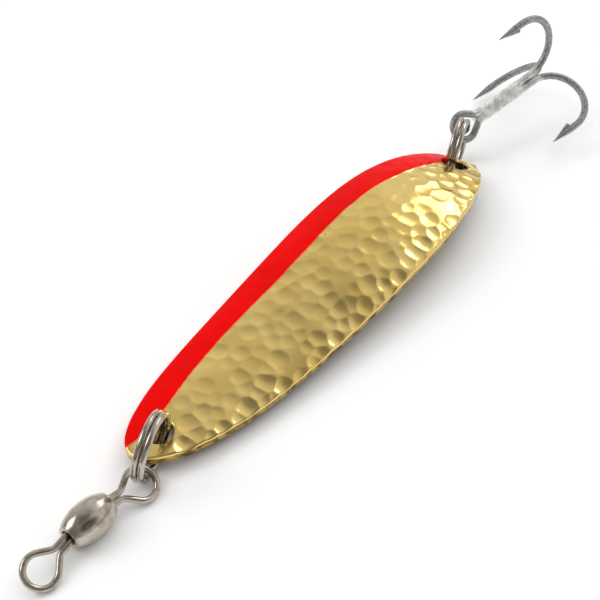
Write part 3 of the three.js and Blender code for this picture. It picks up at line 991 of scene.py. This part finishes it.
def make_braze(material):
    """Solder that floods the grooves between the strands, with a lumpy skin."""
    parts = []
    along = np.linspace(BRAZE_START, BRAZE_END, 60)
    fade_in = smoothstep(along, BRAZE_START, BRAZE_START + BRAZE_FADE_IN)
    fade_out = 1 - smoothstep(along, BRAZE_END - BRAZE_FADE_OUT, BRAZE_END)
    fade = np.minimum(fade_in, fade_out)
    skin_radii = HOOK_WIRE_RADIUS - BRAZE_STRAND_INSET + (BRAZE_SKIN + BRAZE_STRAND_INSET) * fade
    for turn in (0, *BEND_TURNS):
        path = np.array([hook_point(x, HOOK_STRAND_OFFSET, turn) for x in along])
        parts.append(tube("strand_skin", hook_placed(path), skin_radii, 24, 0.1))
    core = np.column_stack([along, 0 * along, 0 * along])
    core_radii = BRAZE_CORE_END_RADIUS + (BRAZE_CORE_RADIUS - BRAZE_CORE_END_RADIUS) * fade
    parts.append(tube("core", hook_placed(core), core_radii, 32, 0.1))
    braze = parts[0]
    mesh = bmesh.new()
    for part in parts:
        mesh.from_mesh(part.data)
    bmesh.ops.recalc_face_normals(mesh, faces=mesh.faces)
    mesh.to_mesh(braze.data)
    mesh.free()
    for part in parts[1:]:
        bpy.data.objects.remove(part)
    braze.name = "hook_braze_solder"
    remesh = braze.modifiers.new("flood", "REMESH")
    remesh.mode = "VOXEL"
    remesh.voxel_size = BRAZE_VOXEL * MM
    smooth = braze.modifiers.new("settle", "SMOOTH")
    smooth.factor = 0.6
    smooth.iterations = 8
    apply_modifiers(braze)
    for vertex in braze.data.vertices:
        at = vertex.co / MM
        lump = sum(height * noise.noise(at * waves) for height, waves in BRAZE_LUMPS)
        vertex.co += vertex.normal * lump * MM
    return finished(braze, material, "hook", "hook_braze", 80)


# --------------------------------------------------------------------- stage

def make_camera():
    """The camera, above the swivel end and on the -Y side."""
    camera_data = bpy.data.cameras.new("camera")
    camera = bpy.data.objects.new("camera", camera_data)
    bpy.context.scene.collection.objects.link(camera)
    camera.location = Vector(place(CAMERA_AT))
    aim = Vector(place(CAMERA_AIM)) - camera.location
    camera.rotation_euler = aim.to_track_quat("-Z", "Y").to_euler()
    camera_data.lens = CAMERA_LENS
    camera_data.sensor_width = 36
    camera_data.clip_start = 0.005
    bpy.context.scene.camera = camera


def make_floor():
    """A plain white floor, just under the lowest wire."""
    size = FLOOR_HALF_SIZE
    corners = [(-size, -size), (size, -size), (size, size), (-size, size)]
    mesh = bpy.data.meshes.new("floor")
    mesh.from_pydata([(x, y, -FLOOR_DROP) for x, y in corners], [], [(0, 1, 2, 3)])
    floor = bpy.data.objects.new("floor", mesh)
    bpy.context.scene.collection.objects.link(floor)
    floor.data.materials.append(white_floor())


def softbox(name, direction, distance, width, height, radiance):
    """A soft area light that aims at the lure from a direction."""
    data = bpy.data.lights.new(name, "AREA")
    data.shape = "RECTANGLE"
    data.size = width
    data.size_y = height
    data.energy = radiance * math.pi * width * height
    light = bpy.data.objects.new(name, data)
    bpy.context.scene.collection.objects.link(light)
    towards = Vector(direction).normalized()
    light.location = towards * distance
    light.rotation_euler = (-towards).to_track_quat("-Z", "Y").to_euler()
    return light


def make_room():
    """A pale room that darkens towards each direction of ROOM_SHADES."""
    world = bpy.data.worlds.new("room")
    world.use_nodes = True
    bpy.context.scene.world = world
    tree = world.node_tree
    direction = tree.nodes.new("ShaderNodeTexCoord").outputs["Generated"]
    level = ROOM_LEVEL
    for axis, low, high, far_level in ROOM_SHADES:
        across = tree.nodes.new("ShaderNodeVectorMath")
        across.operation = "DOT_PRODUCT"
        across.inputs[1].default_value = Vector(axis).normalized()
        tree.links.new(direction, across.inputs[0])
        shade = tree.nodes.new("ShaderNodeMapRange")
        shade.interpolation_type = "SMOOTHSTEP"
        shade.inputs["From Min"].default_value = low
        shade.inputs["From Max"].default_value = high
        shade.inputs["To Min"].default_value = 1
        shade.inputs["To Max"].default_value = far_level
        tree.links.new(across.outputs["Value"], shade.inputs["Value"])
        product = tree.nodes.new("ShaderNodeMath")
        product.operation = "MULTIPLY"
        tree.links.new(shade.outputs["Result"], product.inputs[0])
        if isinstance(level, float):
            product.inputs[1].default_value = level
        else:
            tree.links.new(level, product.inputs[1])
        level = product.outputs[0]
    background = tree.nodes["Background"]
    background.inputs["Color"].default_value = (*ROOM_COLOUR, 1)
    tree.links.new(level, background.inputs["Strength"])


def make_lights():
    """The softboxes, and a fill from above that does not show in the metal."""
    for box in SOFTBOXES:
        softbox(*box)
    fill = softbox(*FLOOR_FILL)
    fill.visible_glossy = False


# --------------------------------------------------------------------- build

bpy.context.scene.view_settings.view_transform = "Standard"
make_camera()
make_floor()
make_room()
make_lights()

gold = brass_and_paint()
plated = nickel()
tinned = tinned_steel()

make_blade(gold)
make_split_ring("front_split_ring_wire", "front_split_ring", "front_ring",
                FRONT_RING_CENTRE, FRONT_RING_AXIS, FRONT_RING_SPIN, plated)
make_split_ring("rear_split_ring_wire", "rear_split_ring", "rear_ring",
                REAR_RING_CENTRE, REAR_RING_AXIS, REAR_RING_SPIN, plated)
make_barrel(plated)
make_swivel_eye("swivel_lure_eye_wire", "swivel_lure_eye", "lure_eye",
                1, LURE_EYE_YAW, SWIVEL_EYE_ROLL, plated)
make_swivel_eye("swivel_line_eye_wire", "swivel_line_eye", "line_eye",
                -1, LINE_EYE_YAW, -SWIVEL_EYE_ROLL, plated)
make_double_hook(tinned)
make_single_hook(tinned)
make_braze(solder())
